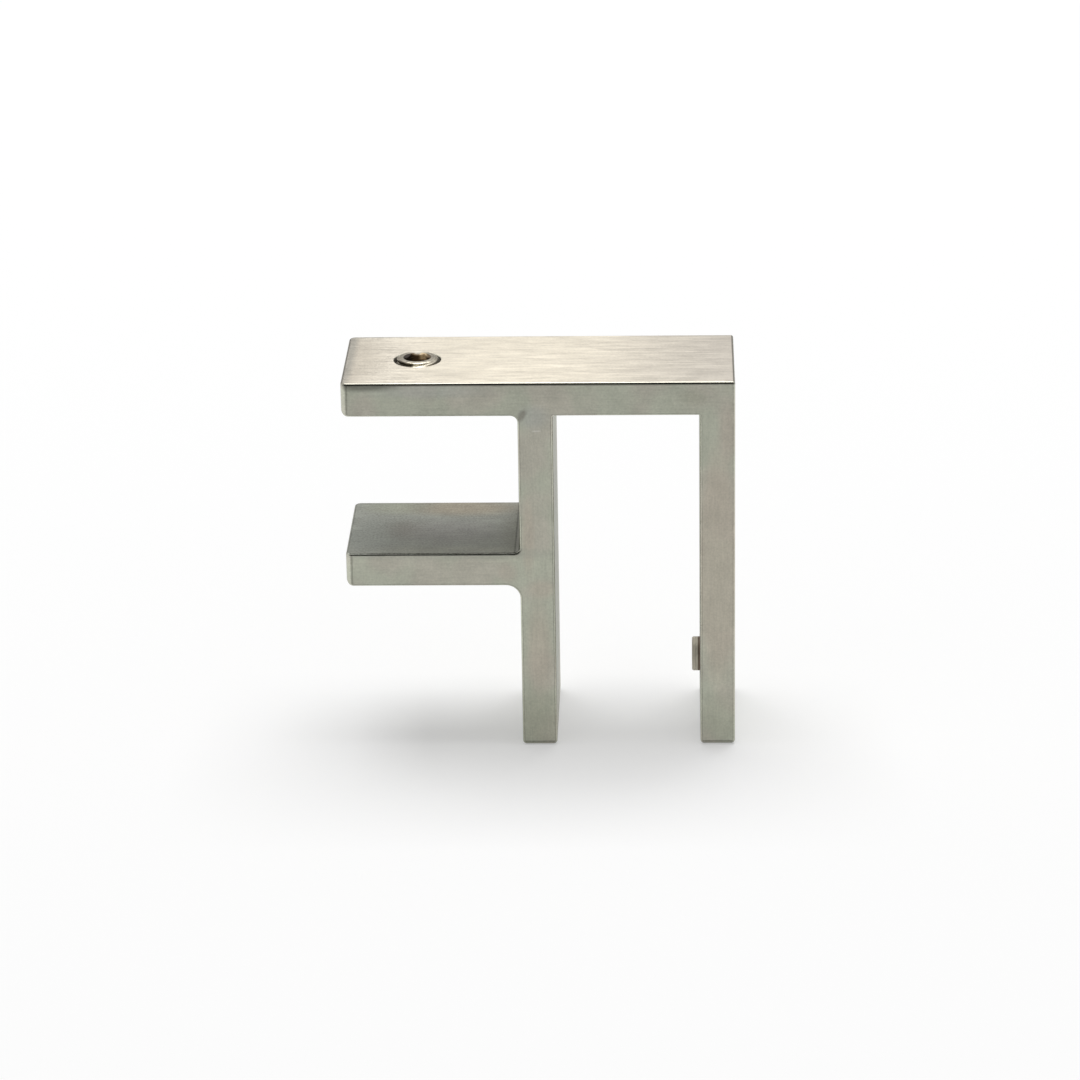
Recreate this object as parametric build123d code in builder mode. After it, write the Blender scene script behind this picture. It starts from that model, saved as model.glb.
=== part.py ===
from build123d import *
import os
from math import cos, radians, tan

# A glass panel clamp: a one-piece stainless steel body with two set screws.
# Seen from the front, a long top bar carries a middle leg and an end leg, and a lower jaw stands
# out of the middle leg. The panel goes into the slot between the bar and the jaw, where the top
# screw presses on it, and the two legs straddle a rail or wall edge, which the side screw presses.
# Lengths are in millimetres. +Z is up and the front looks along -Y. The origin lies on the floor
# that the legs stand on, under the middle of the part.

# Body
wall = 6.0  # thickness of the bar, of both legs and of the jaw
body_width = 25.0  # from the front to the back
jaw_reach = 30.0  # from the free ends of the bar and the jaw to the middle leg
slot_height = 25.0  # between the bar and the jaw
channel_width = 25.0  # between the legs
leg_length = 61.0  # of both legs, below the bar

# Roundings of the body
free_end_round = 1.2  # upright and lower edges of the free ends of the bar and the jaw
slot_roof_round = 1.25  # inner corner of the bar and the middle leg
slot_floor_round = 1.0  # inner corner of the jaw and the middle leg
jaw_root_round = 2.5  # under the jaw, against the middle leg
channel_round = 0.3  # inner corners of the channel
foot_round = 0.85  # round the lower end of each leg
edge_break = 0.4  # every other edge

# Set screws: a hexagon socket at one end and a dog point at the other
thread_diameter = 8.0
screw_length = 6.0
tip_diameter = 6.0
tip_length = 2.0
tip_chamfer = 0.2
thread_end_chamfer = 0.7
socket_sides = 6
socket_across_flats = 4.0
socket_depth = 3.0
socket_rim = 0.1  # by which the countersink is wider than the socket's corners
drill_point_angle = 118.0  # degrees, at the bottom of the socket

# Tapped holes and the places of the screws in them
thread_clearance = 0.05  # between a thread's crest and the bore, on the radius
bore_mouth = 0.1  # chamfer at both ends of a tapped hole
top_screw_inset = 12.5  # from the bar's free end to the screw's axis
top_screw_proud = 0.5  # by which the driven end stands above the bar
side_screw_height = 12.0  # from the foot of the end leg up to the screw's axis
side_screw_reach = 1.4  # by which the tip stands out of the end leg

overrun = 1.0  # by which a cut goes past its wall
smooth_join_angle = 15.0  # degrees, up to which two faces count as one smooth surface

# Places in the front view
overall_length = jaw_reach + wall + channel_width + wall
overall_height = leg_length + wall
left = -overall_length / 2
right = overall_length / 2
middle_leg_left = left + jaw_reach
middle_leg_right = middle_leg_left + wall
end_leg_left = middle_leg_right + channel_width
bar_bottom = leg_length
jaw_top = bar_bottom - slot_height
jaw_bottom = jaw_top - wall
lower_left = (Align.MIN, Align.MIN)

corner_rounds = (
    ((left, bar_bottom), free_end_round),
    ((left, jaw_bottom), free_end_round),
    ((middle_leg_left, bar_bottom), slot_roof_round),
    ((middle_leg_left, jaw_top), slot_floor_round),
    ((middle_leg_left, jaw_bottom), jaw_root_round),
    ((middle_leg_right, bar_bottom), channel_round),
    ((end_leg_left, bar_bottom), channel_round),
    ((middle_leg_left, 0), foot_round),
    ((middle_leg_right, 0), foot_round),
    ((end_leg_left, 0), foot_round),
    ((right, 0), foot_round),
)

# Each screw's seat is the plane of its driven end, which looks the way the screw points
bore_radius = thread_diameter / 2 + thread_clearance
top_screw_x = left + top_screw_inset
bore_planes = (
    Plane(origin=(top_screw_x, 0, overall_height)),
    Plane(origin=(right, 0, side_screw_height), z_dir=(1, 0, 0)),
)
screw_seats = {
    "top_set_screw": Plane(
        origin=(top_screw_x, 0, overall_height + top_screw_proud),
        x_dir=(1, 0, 0),
        z_dir=(0, 0, -1),
    ),
    "side_set_screw": Plane(
        origin=(end_leg_left - side_screw_reach + screw_length, 0, side_screw_height),
        x_dir=(0, 1, 0),
        z_dir=(-1, 0, 0),
    ),
}


def sharp_edges(solid):
    """The edges where two faces meet in a corner and not along a smooth join."""
    sharp = ShapeList()
    for edge in solid.edges():
        sides = [face for face in solid.faces() if edge in face.edges()]
        normals = [face.normal_at(edge @ 0.5) for face in sides]
        if len(normals) == 2 and normals[0].get_angle(normals[1]) > smooth_join_angle:
            sharp.append(edge)
    return sharp


os.makedirs("parts", exist_ok=True)

# Envelope with the free ends rounded in plan, and the feet rounded at the front and back
with BuildPart() as envelope:
    with BuildSketch():
        Rectangle(overall_length, body_width)
        fillet(vertices().group_by(Axis.X)[0], free_end_round)
    extrude(amount=overall_height)
    with BuildSketch(Plane.YZ.offset(left)):
        Rectangle(body_width, overall_height, align=(Align.CENTER, Align.MIN))
        fillet(vertices().group_by(Axis.Y)[0], foot_round)
    extrude(amount=overall_length, mode=Mode.INTERSECT)

# Body: the front outline as deep as the body, cut to the envelope, its edges broken, and tapped
with BuildPart() as clamp_body:
    with BuildSketch(Plane.XZ) as front_outline:
        with Locations((left, bar_bottom)):
            Rectangle(overall_length, wall, align=lower_left)
        with Locations((middle_leg_left, 0), (end_leg_left, 0)):
            Rectangle(wall, overall_height, align=lower_left)
        with Locations((left, jaw_bottom)):
            Rectangle(middle_leg_right - left, wall, align=lower_left)
        for (x, z), radius in corner_rounds:
            fillet(vertices().sort_by_distance((x, z, 0))[0], radius)
    extrude(amount=body_width / 2, both=True)
    add(envelope.part, mode=Mode.INTERSECT)
    fillet(sharp_edges(clamp_body.part), edge_break)
    with Locations(*bore_planes):
        Hole(bore_radius, depth=wall + overrun)
    chamfer(edges(Select.LAST).filter_by(GeomType.CIRCLE), bore_mouth)
clamp_body.part.label = "clamp_body"
export_step(clamp_body.part, "parts/clamp_body.step")

# Set screws: a turned shank, then the socket with its countersink and its drilled bottom
thread_radius = thread_diameter / 2
tip_radius = tip_diameter / 2
thread_length = screw_length - tip_length
shank_profile = (
    (0, 0),
    (thread_radius - thread_end_chamfer, 0),
    (thread_radius, thread_end_chamfer),
    (thread_radius, thread_length - thread_end_chamfer),
    (thread_radius - thread_end_chamfer, thread_length),
    (tip_radius, thread_length),
    (tip_radius, screw_length - tip_chamfer),
    (tip_radius - tip_chamfer, screw_length),
    (0, screw_length),
)
socket_radius = socket_across_flats / 2
countersink_radius = socket_radius / cos(radians(180 / socket_sides)) + socket_rim
drill_point_depth = socket_radius / tan(radians(drill_point_angle / 2))
on_axis = (Align.CENTER, Align.CENTER, Align.MIN)

for name, seat in screw_seats.items():
    with BuildPart() as set_screw:
        with BuildSketch(Plane(seat.origin, x_dir=seat.x_dir, z_dir=-seat.y_dir)):
            with BuildLine():
                Polyline(*shank_profile, close=True)
            make_face()
        revolve(axis=Axis(seat.origin, seat.z_dir))
        with BuildSketch(seat):
            RegularPolygon(socket_radius, side_count=socket_sides, major_radius=False)
        extrude(amount=socket_depth, mode=Mode.SUBTRACT)
        with Locations(seat):
            Cone(
                countersink_radius,
                socket_radius,
                countersink_radius - socket_radius,
                align=on_axis,
                mode=Mode.SUBTRACT,
            )
        with Locations(seat.offset(socket_depth)):
            Cone(socket_radius, 0, drill_point_depth, align=on_axis, mode=Mode.SUBTRACT)
    set_screw.part.label = name
    export_step(set_screw.part, f"parts/{name}.step")
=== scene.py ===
"""Dresses the glass panel clamp: its satin steel body, its two set screws and its tapped holes.

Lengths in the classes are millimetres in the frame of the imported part, and become metres where a
mesh, a lamp or the camera is made.
"""

import logging
import math
from dataclasses import dataclass
from enum import Enum
from typing import Any, Callable, Optional, Sequence, Union

import bpy
from mathutils import Matrix, Vector


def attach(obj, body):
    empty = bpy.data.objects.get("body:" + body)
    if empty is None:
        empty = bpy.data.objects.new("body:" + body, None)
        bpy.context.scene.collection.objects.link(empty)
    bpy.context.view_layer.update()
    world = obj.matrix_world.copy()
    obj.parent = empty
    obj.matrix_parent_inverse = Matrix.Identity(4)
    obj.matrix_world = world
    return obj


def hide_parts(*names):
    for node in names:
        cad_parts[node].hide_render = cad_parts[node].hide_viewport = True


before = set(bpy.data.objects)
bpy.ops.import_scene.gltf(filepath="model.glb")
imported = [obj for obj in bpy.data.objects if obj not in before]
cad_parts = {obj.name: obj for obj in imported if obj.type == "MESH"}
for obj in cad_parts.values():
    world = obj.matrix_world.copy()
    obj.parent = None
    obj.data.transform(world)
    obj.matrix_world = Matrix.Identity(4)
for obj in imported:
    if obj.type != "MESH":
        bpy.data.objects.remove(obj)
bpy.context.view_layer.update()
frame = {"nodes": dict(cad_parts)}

MM = 0.001
log = logging.getLogger("clamp")

Point = tuple[float, float, float]
Colour = tuple[float, float, float]
Span = tuple[float, float]  # from where to where a mask rises
Socket = Union[str, int]  # its name or its place
Operand = Union["Signal", float]
Value = Union["Signal", float, Sequence[float]]

WHITE: Colour = (1.0, 1.0, 1.0)


class Signal:
    """An output socket of a node, with arithmetic on its number."""

    def __init__(self, sheet: "NodeSheet", socket: Optional[bpy.types.NodeSocket]) -> None:
        """Keeps the socket and the node sheet that it belongs to."""
        self.sheet = sheet
        self.socket = socket

    def output(self, name: str) -> "Signal":
        """Another output of the same node."""
        return Signal(self.sheet, self.socket.node.outputs[name])

    def __add__(self, other: Operand) -> "Signal":
        """This value plus another."""
        return self.sheet.math("ADD", self, other)

    __radd__ = __add__

    def __sub__(self, other: Operand) -> "Signal":
        """This value minus another."""
        return self.sheet.math("SUBTRACT", self, other)

    def __rsub__(self, other: Operand) -> "Signal":
        """Another value minus this one."""
        return self.sheet.math("SUBTRACT", other, self)

    def __mul__(self, other: Operand) -> "Signal":
        """This value times another."""
        return self.sheet.math("MULTIPLY", self, other)

    __rmul__ = __mul__

    def __abs__(self) -> "Signal":
        """This value without its sign."""
        return self.sheet.math("ABSOLUTE", self)

    def larger(self, other: Operand) -> "Signal":
        """The larger of this value and another."""
        return self.sheet.math("MAXIMUM", self, other)

    def ease(self, start: float, end: float) -> "Signal":
        """0 up to start, 1 from end on, and a smooth rise between them."""
        inputs = {"Value": self, "From Min": start, "From Max": end}
        return self.sheet.node("ShaderNodeMapRange", {"interpolation_type": "SMOOTHSTEP"}, inputs)


def paint(colour: Union[Signal, Colour]) -> Value:
    """What a colour socket takes: a Signal as it is, and plain numbers with an opacity."""
    return colour if isinstance(colour, Signal) else (*colour, 1.0)


class NodeSheet:
    """The nodes of one material or of the world."""

    # A colour Mix node's sockets, by place because others in it have the same names
    MIX_FACTOR = 0
    MIX_FIRST = 6
    MIX_SECOND = 7
    MIX_RESULT = 2

    def __init__(self, tree: bpy.types.NodeTree) -> None:
        """Starts on an empty node tree."""
        self.tree = tree
        tree.nodes.clear()

    def node(
        self,
        kind: str,
        settings: Optional[dict[str, Any]] = None,
        inputs: Optional[dict[Socket, Value]] = None,
        output: Socket = 0,
    ) -> Signal:
        """Adds a node.

        Args:
            kind: the node's type.
            settings: its options, which are set before its sockets.
            inputs: a value or a Signal for each socket.
            output: the output that is handed back.

        Returns:
            The chosen output of the node.
        """
        made = self.tree.nodes.new(kind)
        for name, value in (settings or {}).items():
            setattr(made, name, value)
        for socket, value in (inputs or {}).items():
            if isinstance(value, Signal):
                self.tree.links.new(value.socket, made.inputs[socket])
            else:
                made.inputs[socket].default_value = value
        return Signal(self, made.outputs[output] if made.outputs else None)

    def math(self, operation: str, *values: Operand) -> Signal:
        """One Math node on the values in their order."""
        return self.node("ShaderNodeMath", {"operation": operation}, dict(enumerate(values)))

    def vector(self, operation: str, *values: Value, **named: Value) -> Signal:
        """Adds a Vector Math node.

        Args:
            operation: what it does.
            values: for its first sockets, in their order.
            named: for its other sockets.

        Returns:
            The vector or, from an operation that gives one, the number.
        """
        output = "Value" if operation in ("LENGTH", "DOT_PRODUCT") else 0
        inputs = {**dict(enumerate(values)), **named}
        return self.node("ShaderNodeVectorMath", {"operation": operation}, inputs, output)

    def split(self, vector: Signal) -> tuple[Signal, Signal, Signal]:
        """The three parts of a vector."""
        x = self.node("ShaderNodeSeparateXYZ", inputs={0: vector})
        return x, x.output("Y"), x.output("Z")

    def along(self, vector: Signal, way: Sequence[float]) -> Signal:
        """How far a vector goes one way."""
        return self.vector("DOT_PRODUCT", vector, tuple(way))

    def position(self) -> Signal:
        """The place on the object, in millimetres."""
        metres = self.node("ShaderNodeTexCoord", output="Object")
        return self.vector("SCALE", metres, Scale=1 / MM)

    def noise(self, place: Signal, cell: Point, detail: float = 2.0) -> Signal:
        """Adds noise.

        Args:
            place: where it is taken, in millimetres.
            cell: the size of its cells along X, Y and Z.
            detail: how many finer layers it has.

        Returns:
            The noise, from 0 to 1.
        """
        stretched = self.vector("DIVIDE", place, cell)
        inputs = {"Vector": stretched, "Scale": 1.0, "Detail": detail, "Roughness": 0.5}
        return self.node("ShaderNodeTexNoise", {"noise_dimensions": "3D"}, inputs)

    def blend(
        self, mask: Operand, first: Union[Signal, Colour], second: Union[Signal, Colour]
    ) -> Signal:
        """The first colour where the mask is 0 and the second where it is 1."""
        inputs = {self.MIX_FACTOR: mask, self.MIX_FIRST: paint(first), self.MIX_SECOND: paint(second)}
        return self.node("ShaderNodeMix", {"data_type": "RGBA"}, inputs, self.MIX_RESULT)

    def brighten(self, colour: Signal, factor: Signal) -> Signal:
        """A colour times a number."""
        return self.vector("SCALE", colour, Scale=factor)

    def glow(self, colour: Colour) -> Signal:
        """A surface that renders in the colour as it is written, whatever the light."""
        return self.node("ShaderNodeEmission", inputs={"Color": paint(colour), "Strength": 1.0})

    def finish(self, shader: Signal, kind: str = "ShaderNodeOutputMaterial") -> None:
        """Makes the shader the one that the sheet gives."""
        self.node(kind, inputs={"Surface": shader})

    def metal(
        self, colour: Signal, metallic: Operand, roughness: Signal, height: Signal, depth: float
    ) -> None:
        """Ends the sheet in a metal surface.

        Args:
            colour: of the metal.
            metallic: 1 for bare metal, and less where something covers it.
            roughness: of its gloss.
            height: its fine relief.
            depth: what a height of 1 stands for, in millimetres.
        """
        relief = {"Height": height, "Strength": 1.0, "Distance": depth * MM}
        shader = self.node(
            "ShaderNodeBsdfPrincipled",
            inputs={
                "Base Color": colour,
                "Metallic": metallic,
                "Roughness": roughness,
                "Normal": self.node("ShaderNodeBump", inputs=relief),
            },
        )
        self.finish(shader)


def blank_material(name: str) -> tuple[bpy.types.Material, NodeSheet]:
    """Makes a material without nodes.

    Args:
        name: of the material.

    Returns:
        The material and its empty node sheet.
    """
    material = bpy.data.materials.new(name)
    material.use_nodes = True
    return material, NodeSheet(material.node_tree)


def add_mesh(
    name: str, points: Sequence[Sequence[float]], faces: Sequence[Sequence[int]]
) -> bpy.types.Object:
    """Puts a mesh in the scene.

    Args:
        name: of the mesh and of its object.
        points: its corners, in metres.
        faces: the corners of each face, by number.

    Returns:
        The new object.
    """
    mesh = bpy.data.meshes.new(name)
    mesh.from_pydata(points, [], faces)
    obj = bpy.data.objects.new(name, mesh)
    bpy.context.scene.collection.objects.link(obj)
    return obj


@dataclass(frozen=True)
class Mark:
    """A patch of the surface with its own tint, such as a tint of the steel, a scratch, or painted
    light or shade.
    """

    centre: Point
    half: Point
    tint: Colour
    strength: float = 1.0
    lean: float = 0.0  # degrees about the line of sight from the front
    soft: float = 0.6  # share of the patch over which it fades out

    def mask(self, sheet: NodeSheet, place: Signal) -> Signal:
        """Marks out the patch.

        Args:
            sheet: the nodes to add to.
            place: the place on the body.

        Returns:
            The patch's strength inside it, and 0 outside.
        """
        offset = sheet.vector("SUBTRACT", place, self.centre)
        if self.lean:
            inputs = {"Vector": offset, "Rotation": (0.0, math.radians(self.lean), 0.0)}
            offset = sheet.node("ShaderNodeVectorRotate", {"rotation_type": "EULER_XYZ"}, inputs)
        reach = sheet.vector("LENGTH", sheet.vector("DIVIDE", offset, self.half))
        return (1 - reach.ease(1 - self.soft, 1 + self.soft)) * self.strength


FRONT = -12.5
JAW_TOP = 36.0
TAN = (0.490, 0.446, 0.372)
PINK = (0.486, 0.438, 0.374)
OLIVE = (0.392, 0.398, 0.318)
BLUE_GREY = (0.425, 0.440, 0.404)

FRONT_TINTS = (
    Mark((-2.0, FRONT, 39.3), (1.0, 1.5, 6.2), TAN, 0.7),
    Mark((0.2, FRONT, 29.3), (2.2, 1.5, 1.5), TAN, 0.6),
    Mark((-0.4, FRONT, 18.0), (1.9, 1.5, 7.5), TAN, 0.7),
    Mark((30.6, FRONT, 33.0), (3.4, 1.5, 21.0), TAN, 0.75, soft=0.25),
    Mark((32.2, FRONT, 57.5), (1.4, 1.5, 5.0), PINK, 0.7),
    Mark((-0.6, FRONT, 5.0), (3.6, 1.5, 5.0), OLIVE, 0.7),
    Mark((31.0, FRONT, 5.2), (3.2, 1.5, 4.0), OLIVE, 0.5),
    Mark((26.5, FRONT, 64.2), (2.2, 1.5, 1.3), OLIVE, 0.55),
    Mark((-19.0, FRONT, 65.6), (9.0, 1.5, 1.2), BLUE_GREY, 0.5),
    Mark((-5.7, FRONT, 32.4), (1.5, 1.5, 1.8), PINK, 0.55),
    Mark((-0.9, FRONT, 60.8), (2.4, 1.5, 1.9), BLUE_GREY, 0.6),
)
# The dark nick under the bar's inner corner, and the bright scratch below it
FRONT_DAMAGE = (
    Mark((-2.7, FRONT, 61.1), (0.55, 1.5, 1.15), (0.250, 0.240, 0.205), 0.75, lean=-28.0),
    Mark((-0.3, FRONT, 58.3), (0.75, 1.5, 0.14), (0.600, 0.590, 0.540), 0.8, soft=0.4),
)
# Painted shade on the bar's top: darker at its free end, a grey brim along the free end's edge, and
# darker at the two ends of the back edge
BAR_TOP_SHADE = (
    Mark((-33.0, 0.0, 67.0), (6.0, 14.0, 1.0), (0.560, 0.512, 0.430), 0.75),
    Mark((-33.3, 6.0, 67.0), (1.4, 24.0, 1.0), (0.384, 0.366, 0.322), 0.9, soft=0.5),
    Mark((-29.0, 12.4, 67.0), (8.0, 0.8, 0.8), (0.440, 0.424, 0.368), 0.7),
    Mark((30.0, 12.4, 67.0), (5.0, 0.7, 0.8), (0.440, 0.424, 0.368), 0.6),
)
# Painted shade under the bar's front lip and under the lip's free end, and a painted shadow down the
# middle leg's side
SHADE_LINES = (
    Mark((0.0, FRONT, 66.69), (60.0, 0.50, 0.22), (0.130, 0.128, 0.106), 0.75, soft=0.5),
    Mark((2.5, 0.0, 29.0), (0.5, 14.0, 25.0), (0.330, 0.338, 0.285), 0.8, soft=0.4),
    Mark((-29.5, FRONT, 66.6), (5.2, 0.35, 0.9), (0.150, 0.152, 0.128), 0.8),
)
# Painted light and shade on the jaw's top: lighter bands along the front and the back, painted shade
# in the corners and along the foot of the middle leg, and a few uneven patches
JAW_TOP_LIGHT_AND_SHADE = (
    Mark((-16.0, -11.8, JAW_TOP), (19.0, 2.6, 1.0), (0.395, 0.400, 0.345), 0.65),
    Mark((-24.5, -1.0, JAW_TOP), (3.4, 3.2, 1.0), (0.228, 0.216, 0.182), 0.7, soft=0.9),
    Mark((-4.0, 0.0, 36.4), (0.8, 14.0, 0.8), (0.180, 0.180, 0.150), 0.6),
    Mark((-3.7, -12.15, 36.5), (1.1, 0.25, 1.1), (0.150, 0.150, 0.125), 0.8, soft=0.3),
    Mark((-29.5, -4.0, JAW_TOP), (4.0, 8.0, 1.0), (0.316, 0.332, 0.300), 0.7),
    Mark((-16.0, -2.0, JAW_TOP), (8.0, 5.0, 1.0), (0.334, 0.328, 0.310), 0.6),
    Mark((-14.0, 9.6, JAW_TOP), (9.5, 3.4, 1.0), (0.382, 0.338, 0.262), 0.8),
    Mark((-26.0, 9.8, JAW_TOP), (5.0, 3.0, 1.0), (0.352, 0.362, 0.292), 0.7),
    Mark((-4.6, -1.0, JAW_TOP), (2.4, 9.0, 1.0), (0.268, 0.270, 0.230), 0.6),
)


@dataclass(frozen=True)
class BodyPlaces:
    """Masks of the body's parts, each 1 where its name says and 0 elsewhere."""

    bar_top: Signal
    jaw_top: Signal
    edge: Signal
    brink: Signal  # the narrow band in which a flat face turns into an edge
    # where the edges get painted shade
    shaded_edge: Signal  # all but the parts of edges that look up and to the free ends
    # the bottom of the feet, where painted shade goes
    foot: Signal
    limbs: tuple[Signal, Signal, Signal]  # where the grain runs along X, along Y and along Z


@dataclass(frozen=True)
class Unevenness:
    """How strongly one noise lightens and darkens the steel."""

    everywhere: float
    bar_top: float = 0.0  # what the bar's top adds to it
    jaw_top: float = 0.0  # and what the jaw's top adds

    def spread(self, noise: Signal, places: BodyPlaces) -> Signal:
        """The noise about zero, as strong as it is in each place."""
        added = places.bar_top * self.bar_top + places.jaw_top * self.jaw_top
        return (noise - 0.5) * (added + self.everywhere)


@dataclass(frozen=True)
class SatinSteel:
    """Ground stainless steel: a fine grain along each limb, faint tints, a few marks, and painted
    light and shade on its faces and edges.
    """

    name: str = "satin_ground_steel"
    grey: Colour = (0.466, 0.481, 0.397)
    warm: Colour = (0.482, 0.468, 0.398)
    # The bar's top is painted much lighter than the other faces, as painted light, and dimmer towards
    # its ends, as painted shade
    top: Colour = (0.868, 0.807, 0.684)
    top_end: Colour = (0.628, 0.585, 0.517)
    # painted darker than the top so that the edge's highlight is dimmed to one level all along it
    lip_highlight_level: Colour = (0.318, 0.304, 0.258)  # the broken edge round the bar's top
    # painted shade on the jaw's top, under the bar
    slot: Colour = (0.326, 0.336, 0.300)
    marks: tuple[Mark, ...] = (
        *FRONT_TINTS,
        *FRONT_DAMAGE,
        *BAR_TOP_SHADE,
        *SHADE_LINES,
        *JAW_TOP_LIGHT_AND_SHADE,
    )

    # Where the body's parts begin and end
    bar_underside: float = 61.0
    jaw_root: float = -3.5
    limb_border: float = 0.3  # half the width over which two limbs' grains cross
    foot_height: Span = (0.1, 1.0)
    # Where the painted light on the bar's top is brightest, and how far from there it fades
    top_middle: float = -4.0  # where the bar's top is brightest
    top_fade: Span = (4.0, 40.0)  # from there, to where it is dullest

    # How squarely a face looks along an axis, from an edge to a flat face
    edge_turn: Span = (0.93, 0.995)
    brink_start: Span = (0.90, 0.96)
    brink_end: Span = (0.996, 0.9995)

    # How far a face looks up, or to an end, and which edges are left out of the painted shade
    upward_turn: Span = (0.6, 0.9)
    end_turn: Span = (0.70, 0.75)
    unshaded_edge_up: Span = (0.05, 0.2)
    unshaded_edge_end: Span = (0.15, 0.35)

    # Noise: its cells, the grain's across and along it, and how it shows
    fine_cell: Span = (0.09, 1.8)
    broad_cell: Span = (0.40, 6.0)
    mottle_cell: float = 0.35
    cloud_cell: float = 4.0
    tint_cell: Point = (7.0, 7.0, 9.0)
    tint_turn: Span = (0.42, 0.62)
    broad_streaks: Unevenness = Unevenness(0.28, bar_top=0.16, jaw_top=0.25)
    fine_streaks: Unevenness = Unevenness(0.20)
    mottling: Unevenness = Unevenness(0.36, bar_top=-0.12, jaw_top=0.60)
    clouding: Unevenness = Unevenness(0.30, bar_top=-0.16)

    # The painted highlight on edges, the painted shade on the jaw's edges, at the brink of edges and
    # at the feet, and the least that is left of the colour
    edge_highlight: float = 0.08
    jaw_edge_shade: float = 0.85
    brink_shade: float = 0.34
    foot_shade: float = 0.4
    darkest: float = 0.06

    # Gloss and relief
    roughness: float = 0.44
    edge_roughness: float = 0.24
    streak_roughness: float = 0.16
    grain_depth: float = 0.020
    top_grain: float = 1.2  # how much deeper the grain is on the bar's top
    end_grain: float = 2.4  # and how much at its free end
    end_grain_fade: Span = (-26.0, -14.0)

    def survey(self, sheet: NodeSheet, place: Signal) -> BodyPlaces:
        """Finds the parts of the body.

        Args:
            sheet: the nodes to add to.
            place: the place on the body.

        Returns:
            Their masks.
        """
        x, _, z = sheet.split(place)
        side_x, side_y, side_z = sheet.split(sheet.node("ShaderNodeTexCoord", output="Normal"))
        facing = abs(side_x).larger(abs(side_y)).larger(abs(side_z))
        border = self.limb_border
        on_bar = z.ease(self.bar_underside - border, self.bar_underside + border)
        left_of_leg = 1 - x.ease(self.jaw_root - border, self.jaw_root + border)
        on_jaw = left_of_leg * (1 - on_bar)
        lying = on_bar * (1 - side_x.ease(*self.end_turn)) + on_jaw
        end_face = abs(side_x).ease(*self.end_turn) * lying
        upward = side_z.ease(*self.upward_turn)
        to_free_end = (-1 * side_x).ease(*self.unshaded_edge_end)
        return BodyPlaces(
            bar_top=upward * on_bar,
            jaw_top=upward * on_jaw,
            edge=1 - facing.ease(*self.edge_turn),
            brink=facing.ease(*self.brink_start) * (1 - facing.ease(*self.brink_end)),
            shaded_edge=1 - side_z.ease(*self.unshaded_edge_up) * to_free_end,
            foot=1 - z.ease(*self.foot_height),
            limbs=(lying - end_face, end_face, 1 - lying),
        )

    def grain(
        self, sheet: NodeSheet, place: Signal, limbs: tuple[Signal, Signal, Signal], cell: Span
    ) -> Signal:
        """Noise drawn out along each limb.

        Args:
            sheet: the nodes to add to.
            place: the place on the body.
            limbs: masks of where the grain runs along X, along Y and along Z.
            cell: the noise cell's size across and along the grain.

        Returns:
            The grain's height from 0 to 1.
        """
        across, along = cell
        cells = ((along, across, across), (across, along, across), (across, across, along))
        parts = [sheet.noise(place, size) * mask for size, mask in zip(cells, limbs)]
        return parts[0] + parts[1] + parts[2]

    def tint(self, sheet: NodeSheet, place: Signal, places: BodyPlaces) -> Signal:
        """Colours the faces, with painted light on the bar's top and painted shade on the jaw's top,
        and the marks on them.

        Args:
            sheet: the nodes to add to.
            place: the place on the body.
            places: the masks of the body's parts.

        Returns:
            The colour, before the grain and the edges lighten and darken it.
        """
        x, _, _ = sheet.split(place)
        warmth = sheet.noise(place, self.tint_cell, 1.0).ease(*self.tint_turn)
        colour = sheet.blend(warmth, self.grey, self.warm)
        away = abs(x - self.top_middle).ease(*self.top_fade)
        colour = sheet.blend(places.bar_top, colour, sheet.blend(away, self.top, self.top_end))
        colour = sheet.blend(places.jaw_top, colour, self.slot)
        for mark in self.marks:
            colour = sheet.blend(mark.mask(sheet, place), colour, mark.tint)
        return sheet.blend(places.edge * places.bar_top, colour, self.lip_highlight_level)

    def shade(
        self, sheet: NodeSheet, place: Signal, places: BodyPlaces, grains: tuple[Signal, Signal]
    ) -> Signal:
        """Lightens and darkens the steel with its grain and its mottling, and paints highlight on its
        edges and shade on the jaw's edges, at the brink of edges and at the feet.

        Args:
            sheet: the nodes to add to.
            place: the place on the body.
            places: the masks of the body's parts.
            grains: the fine and the broad grain.

        Returns:
            What the colour is multiplied by.
        """
        fine, broad = grains
        mottle = sheet.noise(place, (self.mottle_cell,) * 3)
        cloud = sheet.noise(place, (self.cloud_cell,) * 3)
        streaks = self.broad_streaks.spread(broad, places) + self.fine_streaks.spread(fine, places)
        stains = self.mottling.spread(mottle, places) + self.clouding.spread(cloud, places)
        # Painted highlight on the edges, and painted shade on the jaw's edges, at the brink of edges
        # and at the bottom of the feet
        jaw_edges = places.jaw_top * places.shaded_edge * self.jaw_edge_shade
        edges = places.edge * (self.edge_highlight - jaw_edges)
        dark = places.brink * places.shaded_edge * self.brink_shade + places.foot * self.foot_shade
        return (streaks + stains + edges - dark + 1).larger(self.darkest)

    def make(self) -> bpy.types.Material:
        """Builds the material.

        Returns:
            The body's steel.
        """
        material, sheet = blank_material(self.name)
        place = sheet.position()
        places = self.survey(sheet, place)
        fine = self.grain(sheet, place, places.limbs, self.fine_cell)
        broad = self.grain(sheet, place, places.limbs, self.broad_cell)
        shading = self.shade(sheet, place, places, (fine, broad))
        colour = sheet.brighten(self.tint(sheet, place, places), shading)

        polished = places.edge * (1 - places.jaw_top) * (self.roughness - self.edge_roughness)
        roughness = (broad - 0.5) * self.streak_roughness + self.roughness - polished

        x, _, _ = sheet.split(place)
        away_from_end = x.ease(*self.end_grain_fade)
        deeper = self.end_grain - 1 - away_from_end * (self.end_grain - self.top_grain)
        height = (fine - 0.5) * (places.bar_top * deeper + 1) * (1 - places.edge)
        sheet.metal(colour, 1.0, roughness, height, self.grain_depth)
        return material


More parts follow.
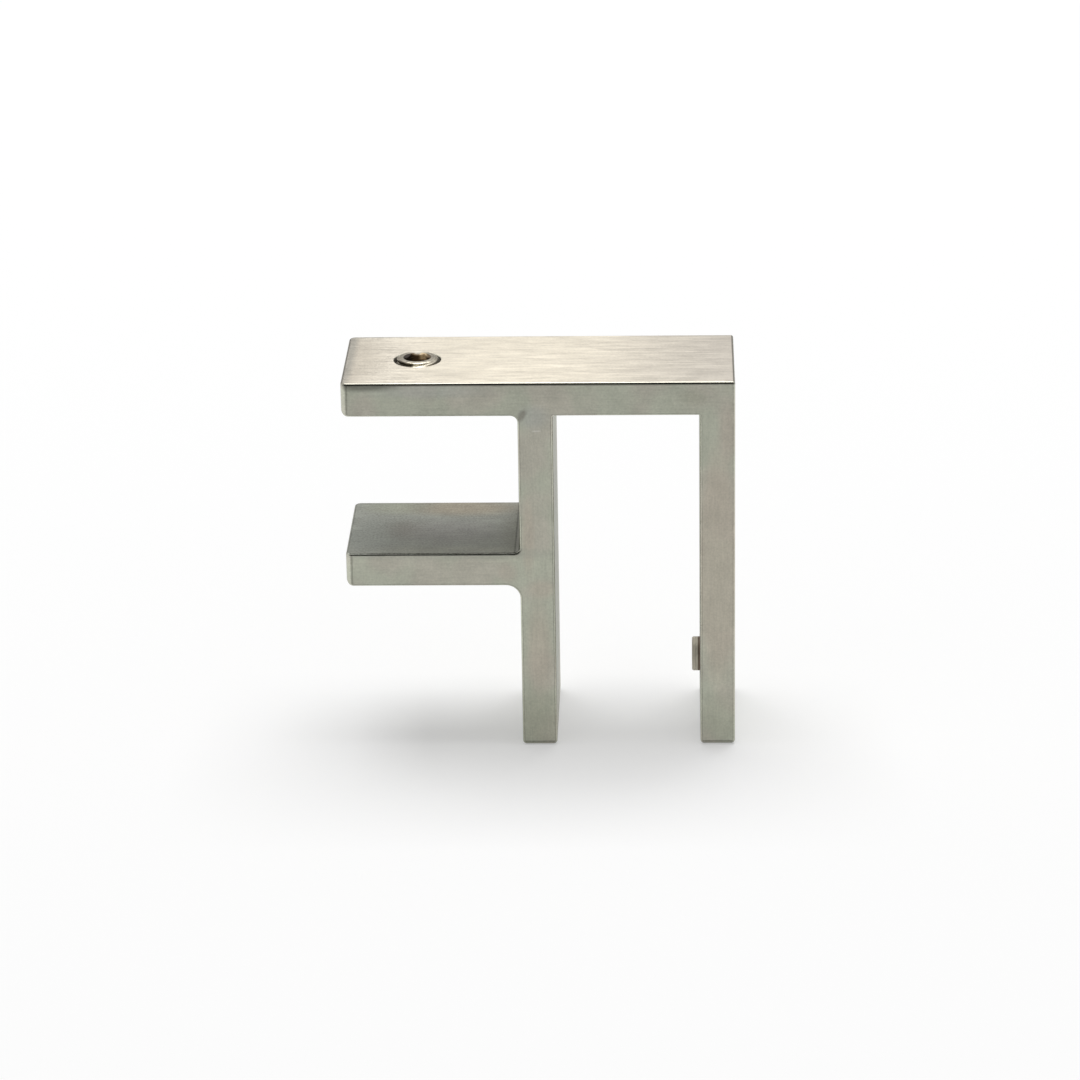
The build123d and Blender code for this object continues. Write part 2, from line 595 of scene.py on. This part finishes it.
@dataclass(frozen=True)
class ScrewPlace:
    """A place on a screw or in its hole, in millimetres from the middle of the driven end."""

    depth: Signal  # along the axis
    radius: Signal  # out from the axis
    corner: Signal  # towards one corner of the hexagon
    side: Signal  # square to the axis and to that corner


@dataclass(frozen=True)
class Axle:
    """The axis of a tapped hole and of the screw in it."""

    origin: Point
    way: Point
    corner: Point  # towards one corner of the hexagon

    def matrix(self) -> Matrix:
        """From the axis's own frame, in millimetres, to the part's, in metres."""
        turned = Matrix((self.corner, self.side(), self.way)).transposed().to_4x4()
        return Matrix.Translation(Vector(self.origin) * MM) @ turned @ Matrix.Scale(MM, 4)

    def side(self) -> Vector:
        """Square to the way and to the hexagon's corner."""
        return Vector(self.way).cross(Vector(self.corner))

    def letter(self) -> str:
        """The name of the part's own axis that this one runs along."""
        return next(letter for letter, part in zip("xyz", self.way) if part)

    def locate(self, sheet: NodeSheet, place: Signal) -> ScrewPlace:
        """Measures a place from the driven end.

        Args:
            sheet: the nodes to add to.
            place: the place in the part's frame.

        Returns:
            The same place along and round the axis.
        """
        offset = sheet.vector("SUBTRACT", place, self.origin)
        depth = sheet.along(offset, self.way)
        on_axis = sheet.vector("SCALE", self.way, Scale=depth)
        return ScrewPlace(
            depth=depth,
            radius=sheet.vector("LENGTH", sheet.vector("SUBTRACT", offset, on_axis)),
            corner=sheet.along(offset, self.corner),
            side=sheet.along(offset, self.side()),
        )


class Look(Enum):
    """How a screw thread's steel was left."""

    SCREW = "screw_bright_steel"
    TAPPED = "tapped_cut_steel"


@dataclass(frozen=True)
class ScrewSteel:
    """Turned and rolled steel: rings round the axis, painted shade and a golden painted reflection in
    the socket, a painted shadow round the thread and at the tip's root, and a painted highlight on
    the back of the driven end.
    """

    look: Look
    axle: Axle
    bright: Colour = (0.550, 0.508, 0.415)
    dull: Colour = (0.370, 0.342, 0.288)
    back_highlight: Colour = (0.920, 0.885, 0.790)
    thread_shadow: Colour = (0.055, 0.045, 0.030)
    socket_shade: Colour = (0.180, 0.130, 0.075)
    golden_reflection: Colour = (0.950, 0.740, 0.450)
    shadow: Colour = (0.060, 0.048, 0.040)
    tip: Colour = (0.720, 0.670, 0.570)
    root_shadow: Colour = (0.170, 0.105, 0.065)

    # The tip, outside the socket's bottom, and how far the painted shadow at its root reaches
    tip_depth: Span = (3.95, 4.05)
    drill_radius: Span = (0.3, 0.4)
    drill_depth: Span = (4.5, 4.6)
    root_shadow_depth: Span = (4.85, 5.05)
    root_shadow_cover: float = 0.9

    # The painted shadow round the thread, which is wider on one side and left out in one place
    thread_radius: Span = (3.43, 3.63)
    thread_shadow_cover: float = 0.95
    thread_shadow_spread: float = 0.35
    spread_side: Span = (0.5, 2.0)
    spread_corner: Span = (-0.8, 0.6)
    unshaded_at: float = 0.45
    unshaded_half: Span = (0.75, 1.35)
    unshaded_side: Span = (2.5, 3.0)

    # The painted highlight on the back of the driven end
    back_side: Span = (-3.0, -2.0)
    back_depth: Span = (0.2, 0.4)

    # The painted shade in the socket: left out in one glint, a golden painted reflection in one patch
    # and a darker painted shadow in one corner
    socket_radius: Span = (2.35, 2.41)
    socket_depth: Span = (0.0, 0.05)
    glint_half: Span = (0.4, 0.8)
    glint_side: Span = (-2.2, -2.1)
    gold_start: Span = (0.0, 0.7)
    gold_end: Span = (1.1, 1.8)
    gold_depth: Span = (1.0, 1.4)
    shadow_corner: Span = (-1.5, -0.8)
    socket_shade_matting: float = 0.4
    reflection_matting: float = 0.5

    # Blotches, specks and turned rings
    blotch_cell: float = 0.9
    blotch_detail: float = 3.0
    blotch_turn: Span = (0.4, 0.7)
    speck_cell: float = 0.15
    speck_light: float = 0.2
    speck_height: float = 0.6
    ring_pitch: float = 0.50
    ring_light: float = 0.10
    ring_height: float = 0.5
    relief: float = 0.030

    # Gloss
    roughness: float = 0.30
    blotch_roughness: float = 0.2
    back_roughness: float = 0.25
    matting_roughness: float = 0.3
    tip_roughness: float = 0.70
    tip_scale: float = 0.55  # how much of the tip's metal its oxide covers

    def on_tip(self, spot: ScrewPlace) -> Signal:
        """1 on the tip, and 0 on the thread and at the bottom of the socket."""
        outside = spot.radius.ease(*self.drill_radius).larger(spot.depth.ease(*self.drill_depth))
        return spot.depth.ease(*self.tip_depth) * outside

    def lit_back(self, spot: ScrewPlace) -> Signal:
        """1 on the back of the driven end, where a highlight is painted, and 0 elsewhere."""
        return (1 - spot.side.ease(*self.back_side)) * (1 - spot.depth.ease(*self.back_depth))

    def shade_thread(self, sheet: NodeSheet, colour: Signal, spot: ScrewPlace) -> Signal:
        """Adds the painted highlight on the back of the driven end, and the painted shadow round the
        thread except where it is left out.

        Args:
            sheet: the nodes to add to.
            colour: the steel's own colour.
            spot: the place on the screw or in the hole.

        Returns:
            The colour with the painted highlight and shadow on it.
        """
        unshaded = 1 - abs(spot.corner - self.unshaded_at).ease(*self.unshaded_half)
        unshaded = unshaded * spot.side.ease(*self.unshaded_side)
        wide = spot.side.ease(*self.spread_side) * (1 - spot.corner.ease(*self.spread_corner))
        thread = (spot.radius + wide * self.thread_shadow_spread).ease(*self.thread_radius)
        shadowed = thread * (1 - self.on_tip(spot)) * (1 - unshaded)
        colour = sheet.blend(self.lit_back(spot), colour, self.back_highlight)
        return sheet.blend(shadowed * self.thread_shadow_cover, colour, self.thread_shadow)

    def shade_socket(
        self, sheet: NodeSheet, colour: Signal, spot: ScrewPlace
    ) -> tuple[Signal, Signal]:
        """Adds the painted shade and golden painted reflection in the socket, and the painted shadow
        at the tip's root.

        Args:
            sheet: the nodes to add to.
            colour: the screw's colour so far.
            spot: the place on the screw.

        Returns:
            The colour with them, and how far the socket's painted shade and reflection turn the metal
            matt.
        """
        on_tip = self.on_tip(spot)
        glint = 1 - abs(spot.corner).ease(*self.glint_half)
        glint = glint * (1 - spot.side.ease(*self.glint_side))
        inside = (1 - spot.radius.ease(*self.socket_radius)) * spot.depth.ease(*self.socket_depth)
        deep = inside * (1 - on_tip) * (1 - glint)
        golden = spot.corner.ease(*self.gold_start) * (1 - spot.corner.ease(*self.gold_end))
        golden = golden * (1 - spot.depth.ease(*self.gold_depth))
        socket_shade = sheet.blend(golden, self.socket_shade, self.golden_reflection)
        socket_shade = sheet.blend(spot.corner.ease(*self.shadow_corner), self.shadow, socket_shade)
        near_root = 1 - spot.depth.ease(*self.root_shadow_depth)
        tip = sheet.blend(near_root * self.root_shadow_cover, self.tip, self.root_shadow)
        colour = sheet.blend(on_tip, sheet.blend(deep, colour, socket_shade), tip)
        return colour, deep * (golden * self.reflection_matting + self.socket_shade_matting)

    def make(self) -> bpy.types.Material:
        """Builds the material.

        Returns:
            The steel of this look round this axle.
        """
        material, sheet = blank_material(f"{self.look.value}_{self.axle.letter()}")
        place = sheet.position()
        spot = self.axle.locate(sheet, place)
        blotches = sheet.noise(place, (self.blotch_cell,) * 3, self.blotch_detail)
        specks = sheet.noise(place, (self.speck_cell,) * 3)
        turns = (spot.radius + spot.depth) * (2 * math.pi / self.ring_pitch)
        rings = sheet.math("SINE", turns)
        colour = sheet.blend(blotches.ease(*self.blotch_turn), self.bright, self.dull)
        colour = self.shade_thread(sheet, colour, spot)
        roughness = (blotches - 0.5) * self.blotch_roughness + self.roughness
        roughness = roughness + self.lit_back(spot) * self.back_roughness
        metallic: Operand = 1.0
        if self.look is Look.SCREW:
            colour, matting = self.shade_socket(sheet, colour, spot)
            on_tip = self.on_tip(spot)
            rougher = on_tip * (self.tip_roughness - self.roughness) + matting * self.matting_roughness
            roughness = roughness + rougher
            metallic = 1 - on_tip * self.tip_scale - matting
        light = (specks - 0.5) * self.speck_light + rings * self.ring_light + 1
        height = rings * self.ring_height + specks * self.speck_height
        sheet.metal(sheet.brighten(colour, light), metallic, roughness, height, self.relief)
        return material


Ring = Callable[[float], tuple[float, float]]  # from an angle to a radius and a depth

SMOOTH_BEND = 38.0  # degrees up to which two faces look like one surface


def circle(radius: float, depth: float) -> Ring:
    """A round ring."""
    return lambda angle: (radius, depth)


def lathe(
    name: str, rings: Sequence[Ring], steps: int, closed: bool, matrix: Matrix
) -> bpy.types.Object:
    """A skin through rings round an axis.

    Args:
        name: of the new object.
        rings: from one end of the skin to the other.
        steps: points round a ring.
        closed: joins the last ring to the first; otherwise the two ends come to a point.
        matrix: from the axis's frame to the part's.

    Returns:
        The object, smooth where its faces bend gently.
    """
    points: list[Vector] = []
    for ring in rings:
        for step in range(steps):
            angle = 2 * math.pi * step / steps
            radius, depth = ring(angle)
            points.append(Vector((radius * math.cos(angle), radius * math.sin(angle), depth)))
    faces: list[tuple[int, ...]] = []
    spans = len(rings) if closed else len(rings) - 1
    turn = 1 if closed else -1  # keeps the faces' outer sides out
    for row in range(spans):
        low = row * steps
        high = (row + 1) % len(rings) * steps
        for step in range(steps):
            after = (step + 1) % steps
            faces.append((low + step, high + step, high + after, low + after)[::turn])
    if not closed:
        for row, end_turn in ((0, -1), (len(rings) - 1, 1)):
            low = row * steps
            depth = sum(point.z for point in points[low : low + steps]) / steps
            points.append(Vector((0.0, 0.0, depth)))
            for step in range(steps):
                fan = (low + step, low + (step + 1) % steps, len(points) - 1)
                faces.append(fan[::end_turn])
    obj = add_mesh(name, [matrix @ point for point in points], faces)
    obj.data.validate()
    obj.data.shade_smooth()
    obj.data.set_sharp_from_angle(angle=math.radians(SMOOTH_BEND))
    return obj


@dataclass(frozen=True)
class ThreadForm:
    """A right-handed metric thread with 60 degree flanks."""

    pitch: float = 1.25
    crest: float = 3.95
    root: float = 3.29
    hole_crest: float = 3.37
    hole_root: float = 4.02
    play: float = 0.05  # along the axis, on each flank
    crest_end: float = 1 / 16  # from the crest's middle to the flank, as a share of the pitch
    root_start: float = 3 / 8  # and from there to the root
    easing: float = 0.06  # share of the height by which the flank's corners are eased

    def rise(self, angle: float, depth: float, play: float = 0.0) -> float:
        """How far out the thread stands, from 0 in the root to 1 on the crest.

        Args:
            angle: round the axis, in radians.
            depth: along the axis.
            play: by which the crest is wider on each side.

        Returns:
            The height, with slightly rounded corners.
        """
        turn = (depth / self.pitch - angle / (2 * math.pi)) % 1.0
        away = abs(turn - 0.5) * self.pitch - play
        flank = (self.root_start - self.crest_end) * self.pitch
        level = min(1.0, max(0.0, (self.root_start * self.pitch - away) / flank))
        return level - self.easing * math.sin(2 * math.pi * level)

    def screw_radius(self, angle: float, depth: float) -> float:
        """The screw's radius at a place on its thread."""
        return self.root + (self.crest - self.root) * self.rise(angle, depth)

    def hole_radius(self, angle: float, depth: float) -> float:
        """The tapped hole's radius at a place on its thread."""
        level = self.rise(angle, depth, self.play)
        return self.hole_crest + (self.hole_root - self.hole_crest) * level


@dataclass(frozen=True)
class SetScrew:
    """A set screw with a hexagon socket, a rolled thread and a dog point."""

    name: str
    node: str
    body: str
    axle: Axle
    thread: ThreadForm = ThreadForm()
    length: float = 6.0
    thread_length: float = 4.0
    end_chamfer: float = 0.7
    shoulder_start: float = 2.72  # the driven end is flat up to here and then rounds over
    across_flats: float = 4.0
    socket_depth: float = 3.0
    socket_rim: float = 0.1
    drill_angle: float = 118.0
    tip_radius: float = 3.0
    tip_chamfer: float = 0.2

    # The rings, and how close they stand where they keep a corner crisp
    steps: int = 144
    row: float = 0.04
    first_row: float = 0.1  # share of a row from the driven end to the thread's first ring
    drill_point: float = 0.02
    drill_rings: tuple[float, ...] = (0.5, 0.985)  # as shares of the drill's radius
    floor_ring: float = 0.995  # share of the way out to the socket's wall
    floor_gap: float = 0.02
    wall_rings: tuple[float, ...] = (1.9, 1.0, 0.46)  # depths down the socket's wall
    rim_gap: float = 0.04
    neck_gap: float = 0.06
    chamfer_gap: Span = (0.03, 0.02)  # along and across, at the tip chamfer's outer corner
    face_gap: Span = (0.01, 0.04)  # and at its inner corner
    face_ring: float = 0.4  # as a share of the tip's radius

    def wall_radius(self, angle: float) -> float:
        """The radius of the socket's wall at an angle."""
        sixth = math.pi / 3
        return self.across_flats / 2 / math.cos(angle % sixth - sixth / 2)

    def hexagon(self, depth: float, share: float = 1.0) -> Ring:
        """A ring on the socket's wall, or a share of the way out to it."""
        return lambda angle: (self.wall_radius(angle) * share, depth)

    def countersunk(self, mouth: float) -> Ring:
        """The ring where a countersink with the given mouth meets the socket's wall."""
        return lambda angle: (self.wall_radius(angle), mouth - self.wall_radius(angle))

    def thread_ring(self, depth: float) -> Ring:
        """A ring of the thread.

        Args:
            depth: along the axis.

        Returns:
            The ring, rounded off near the driven end and chamfered near the tip.
        """
        slope = self.thread.crest - self.shoulder_start
        shoulder = self.shoulder_start + slope * math.sqrt(depth / self.end_chamfer)
        chamfer = self.thread.crest - self.end_chamfer + self.thread_length - depth
        limit = min(shoulder, chamfer)
        return lambda angle: (min(limit, self.thread.screw_radius(angle, depth)), depth)

    def socket_rings(self) -> list[Ring]:
        """The socket's part of the skin.

        Returns:
            The rings from the drill's point up to the mouth and over the driven end.
        """
        flat = self.across_flats / 2
        cone = flat / math.tan(math.radians(self.drill_angle / 2))
        floor = self.socket_depth
        mouth = flat / math.cos(math.pi / 6) + self.socket_rim
        return [
            circle(self.drill_point, floor + cone),
            *(circle(flat * share, floor + cone * (1 - share)) for share in self.drill_rings),
            self.hexagon(floor, self.floor_ring),
            self.hexagon(floor - self.floor_gap),
            *(self.hexagon(depth) for depth in self.wall_rings),
            self.countersunk(mouth),
            circle(mouth, 0.0),
            circle(mouth + self.rim_gap, 0.0),
            circle(self.shoulder_start, 0.0),
        ]

    def tip_rings(self) -> list[Ring]:
        """The tip's part of the skin.

        Returns:
            The rings from the thread's end down to the tip's face.
        """
        chamfer = self.length - self.tip_chamfer
        face = self.tip_radius - self.tip_chamfer
        return [
            circle(self.tip_radius + self.neck_gap, self.thread_length),
            circle(self.tip_radius, self.thread_length + self.neck_gap),
            circle(self.tip_radius, chamfer - self.chamfer_gap[0]),
            circle(self.tip_radius - self.chamfer_gap[1], chamfer),
            circle(face, self.length - self.face_gap[0]),
            circle(face - self.face_gap[1], self.length),
            circle(self.tip_radius * self.face_ring, self.length),
        ]

    def rings(self) -> list[Ring]:
        """The whole skin.

        Returns:
            The rings from the bottom of the socket out and down to the tip.
        """
        rows = round(self.thread_length / self.row)
        step = self.thread_length / (rows + self.first_row)
        thread = [self.thread_ring((index + self.first_row) * step) for index in range(rows + 1)]
        return self.socket_rings() + thread + self.tip_rings()

    def make(self) -> bpy.types.Object:
        """Builds the screw, dresses it and puts it in the place of its CAD node.

        Returns:
            The screw.
        """
        screw = lathe(self.name, self.rings(), self.steps, False, self.axle.matrix())
        steel = ScrewSteel(Look.SCREW, self.axle)
        screw.data.materials.append(steel.make())
        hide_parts(self.node)
        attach(screw, self.body)
        return screw


@dataclass(frozen=True)
class TappedThread:
    """The thread in a tapped hole, sunk into the wall round it."""

    name: str
    axle: Axle  # starts at the driven end of the screw, as the screw's own does
    start: float  # from the axle's origin to where the thread meets the outer face
    wall: float = 6.0
    mouth: float = 0.1
    bore: float = 4.05
    sunk: float = 0.16
    sunk_inset: float = 0.2  # by which the sunk back is shorter at each end
    thread: ThreadForm = ThreadForm()
    roughness: float = 0.36
    steps: int = 144
    row: float = 0.05

    def thread_ring(self, depth: float) -> Ring:
        """A ring of the thread.

        Args:
            depth: in the wall.

        Returns:
            The ring, opened out at both mouths.
        """
        limit = self.bore - min(depth, self.wall - depth) + self.mouth
        place = self.start + depth
        return lambda angle: (max(limit, self.thread.hole_radius(angle, place)), place)

    def rings(self) -> list[Ring]:
        """The whole skin.

        Returns:
            The rings down the hole's wall and back up inside the steel.
        """
        first = self.mouth
        last = self.wall - self.mouth
        rows = round((last - first) / self.row)
        thread = [
            self.thread_ring(first + (last - first) * index / rows) for index in range(rows + 1)
        ]
        backs = (last - self.sunk_inset, first + self.sunk_inset)
        return thread + [circle(self.bore + self.sunk, self.start + depth) for depth in backs]

    def make(self) -> bpy.types.Object:
        """Builds the thread, dresses it and fixes it to the body.

        Returns:
            The thread.
        """
        tapped = lathe(self.name, self.rings(), self.steps, True, self.axle.matrix())
        steel = ScrewSteel(Look.TAPPED, self.axle, roughness=self.roughness)
        tapped.data.materials.append(steel.make())
        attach(tapped, "body")
        return tapped


@dataclass(frozen=True)
class ClampBody:
    """The one-piece body: the bar, the two legs and the jaw."""

    node: str = "clamp_body"
    finish: SatinSteel = SatinSteel()

    def dress(self, nodes: dict[str, bpy.types.Object]) -> bpy.types.Object:
        """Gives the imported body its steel.

        Args:
            nodes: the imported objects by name.

        Returns:
            The body.
        """
        body = nodes[self.node]
        steel = self.finish.make()
        for slot in body.material_slots:
            slot.material = steel
        return body


@dataclass(frozen=True)
class CurvedCard:
    """A card bent over the stage, which only reflections show."""

    name: str
    start: float  # degrees up from the floor behind the clamp, over it and down in front
    end: float
    colour: Colour
    radius: float = 560.0
    half_width: float = 900.0
    steps: int = 24

    def make(self) -> bpy.types.Object:
        """Builds the card and its plain glow.

        Returns:
            The card.
        """
        half_width = self.half_width * MM
        points: list[Point] = []
        for step in range(self.steps + 1):
            angle = math.radians(self.start + (self.end - self.start) * step / self.steps)
            y = self.radius * math.cos(angle) * MM
            z = self.radius * math.sin(angle) * MM
            points += [(-half_width, y, z), (half_width, y, z)]
        faces = [(low, low + 1, low + 3, low + 2) for low in range(0, 2 * self.steps, 2)]
        card = add_mesh(self.name, points, faces)
        material, sheet = blank_material(self.name)
        material.cycles.emission_sampling = "NONE"
        sheet.finish(sheet.glow(self.colour))
        card.data.materials.append(material)
        card.visible_camera = False
        card.visible_diffuse = False
        card.visible_shadow = False
        card.visible_transmission = False
        return card


@dataclass(frozen=True)
class Studio:
    """A pale floor, a soft lamp overhead and a white room."""

    floor_radius: float = 8000.0
    floor_sides: int = 64
    floor_colour: Colour = (0.94, 0.94, 0.94)
    floor_white: float = 0.35  # share of plain white that the eye and reflections see in it
    room_light: float = 0.38
    lamp_place: Point = (0.0, 700.0, 3000.0)
    lamp_aim: Point = (0.0, 0.0, 30.0)
    lamp_size: tuple[float, float] = (2600.0, 2100.0)
    lamp_power: float = 76.0
    cards: tuple[CurvedCard, ...] = (
        CurvedCard("grey_card_behind", 0.0, 38.0, (0.42, 0.41, 0.40)),
        CurvedCard("black_card_in_front", 112.0, 180.0, (0.01, 0.01, 0.01)),
    )

    @staticmethod
    def seen(sheet: NodeSheet) -> Signal:
        """1 for the eye, for reflections and through glass, and 0 for light that falls."""
        camera = sheet.node("ShaderNodeLightPath", output="Is Camera Ray")
        return camera + camera.output("Is Glossy Ray") + camera.output("Is Transmission Ray")

    def lay_floor(self) -> bpy.types.Object:
        """Lays the floor that the clamp stands on.

        Returns:
            The floor.
        """
        reach = self.floor_radius * MM
        sides = self.floor_sides
        points: list[Point] = [(0.0, 0.0, 0.0)]
        for side in range(sides):
            angle = 2 * math.pi * side / sides
            points.append((reach * math.cos(angle), reach * math.sin(angle), 0.0))
        faces = [(0, side + 1, (side + 1) % sides + 1) for side in range(sides)]
        floor = add_mesh("pale_floor", points, faces)
        material, sheet = blank_material("pale_floor")
        material.cycles.emission_sampling = "NONE"
        matt_inputs = {"Color": paint(self.floor_colour), "Roughness": 0.0}
        matt = sheet.node("ShaderNodeBsdfDiffuse", inputs=matt_inputs)
        shaders = {0: self.seen(sheet) * self.floor_white, 1: matt, 2: sheet.glow(WHITE)}
        sheet.finish(sheet.node("ShaderNodeMixShader", inputs=shaders))
        floor.data.materials.append(material)
        return floor

    def light_room(self) -> None:
        """A white room to look at and in reflections, and a plain even light from it."""
        world = bpy.data.worlds.new("white_room")
        bpy.context.scene.world = world
        world.use_nodes = True
        sheet = NodeSheet(world.node_tree)
        strength = self.seen(sheet) * (1 - self.room_light) + self.room_light
        inputs = {"Color": paint(WHITE), "Strength": strength}
        sheet.finish(sheet.node("ShaderNodeBackground", inputs=inputs), "ShaderNodeOutputWorld")

    def hang_lamp(self) -> bpy.types.Object:
        """Hangs the broad soft lamp above and a little behind the clamp.

        Returns:
            The lamp.
        """
        lamp = bpy.data.lights.new("overhead_softbox", "AREA")
        lamp.shape = "RECTANGLE"
        lamp.size, lamp.size_y = (side * MM for side in self.lamp_size)
        lamp.energy = self.lamp_power
        holder = bpy.data.objects.new("overhead_softbox", lamp)
        holder.location = Vector(self.lamp_place) * MM
        aim = Vector(self.lamp_aim) * MM - holder.location
        holder.rotation_euler = aim.to_track_quat("-Z", "Y").to_euler()
        holder.visible_camera = False
        bpy.context.scene.collection.objects.link(holder)
        return holder

    def set_up(self) -> None:
        """Builds the floor, the room, the lamp and the cards."""
        self.lay_floor()
        self.light_room()
        self.hang_lamp()
        for card in self.cards:
            card.make()
        bpy.context.scene.view_settings.view_transform = "Standard"


@dataclass(frozen=True)
class Viewpoint:
    """The camera, where the photograph's stood."""

    pitch: float = 21.3  # degrees that it looks down
    heading: float = -1.899  # degrees that it looks to the right of straight ahead
    roll: float = 0.945
    distance: float = 762.78
    lens: float = 145.94
    sensor: float = 36.0
    nearest: float = 10.0  # closer than this it sees nothing
    target: Point = (-0.312, -2.086, 34.389)

    def place(self) -> bpy.types.Object:
        """Makes the camera and gives it to the scene.

        Returns:
            The camera.
        """
        pitch, heading, roll = (math.radians(a) for a in (self.pitch, self.heading, self.roll))
        level = Vector((math.sin(heading), math.cos(heading), 0.0))
        look = level * math.cos(pitch) - Vector((0.0, 0.0, math.sin(pitch)))
        right = Vector((math.cos(heading), -math.sin(heading), 0.0))
        down = look.cross(right)
        across = right * math.cos(roll) + down * math.sin(roll)
        upright = right * math.sin(roll) - down * math.cos(roll)
        turned = Matrix((across, upright, -look)).transposed().to_4x4()
        camera = bpy.data.cameras.new("viewpoint")
        camera.lens = self.lens
        camera.sensor_width = self.sensor
        camera.clip_start = self.nearest * MM
        holder = bpy.data.objects.new("viewpoint", camera)
        spot = (Vector(self.target) - look * self.distance) * MM
        holder.matrix_world = Matrix.Translation(spot) @ turned
        bpy.context.scene.collection.objects.link(holder)
        bpy.context.scene.camera = holder
        return holder


# Both start at the driven end of their screw
TOP_AXLE = Axle((-21.0, 0.0, 67.5), (0.0, 0.0, -1.0), (1.0, 0.0, 0.0))
SIDE_AXLE = Axle((32.1, 0.0, 12.0), (-1.0, 0.0, 0.0), (0.0, 1.0, 0.0))


def main() -> None:
    """Builds the pieces in order and reports each one."""
    logging.basicConfig(level=logging.INFO, format="%(name)s: %(message)s")
    Viewpoint().place()
    Studio().set_up()
    body = ClampBody().dress(frame["nodes"])
    log.info("%s wears %s", body.name, body.data.materials[0].name)
    for piece in (
        SetScrew("top_screw_threaded", "top_set_screw", "top_screw", TOP_AXLE),
        SetScrew("side_screw_threaded", "side_set_screw", "side_screw", SIDE_AXLE),
        TappedThread("bar_tapped_thread", TOP_AXLE, start=0.5),
        TappedThread("leg_tapped_thread", SIDE_AXLE, start=-1.4),
    ):
        made = piece.make()
        log.info("%s: %d faces", made.name, len(made.data.polygons))


if __name__ == "__main__":
    main()
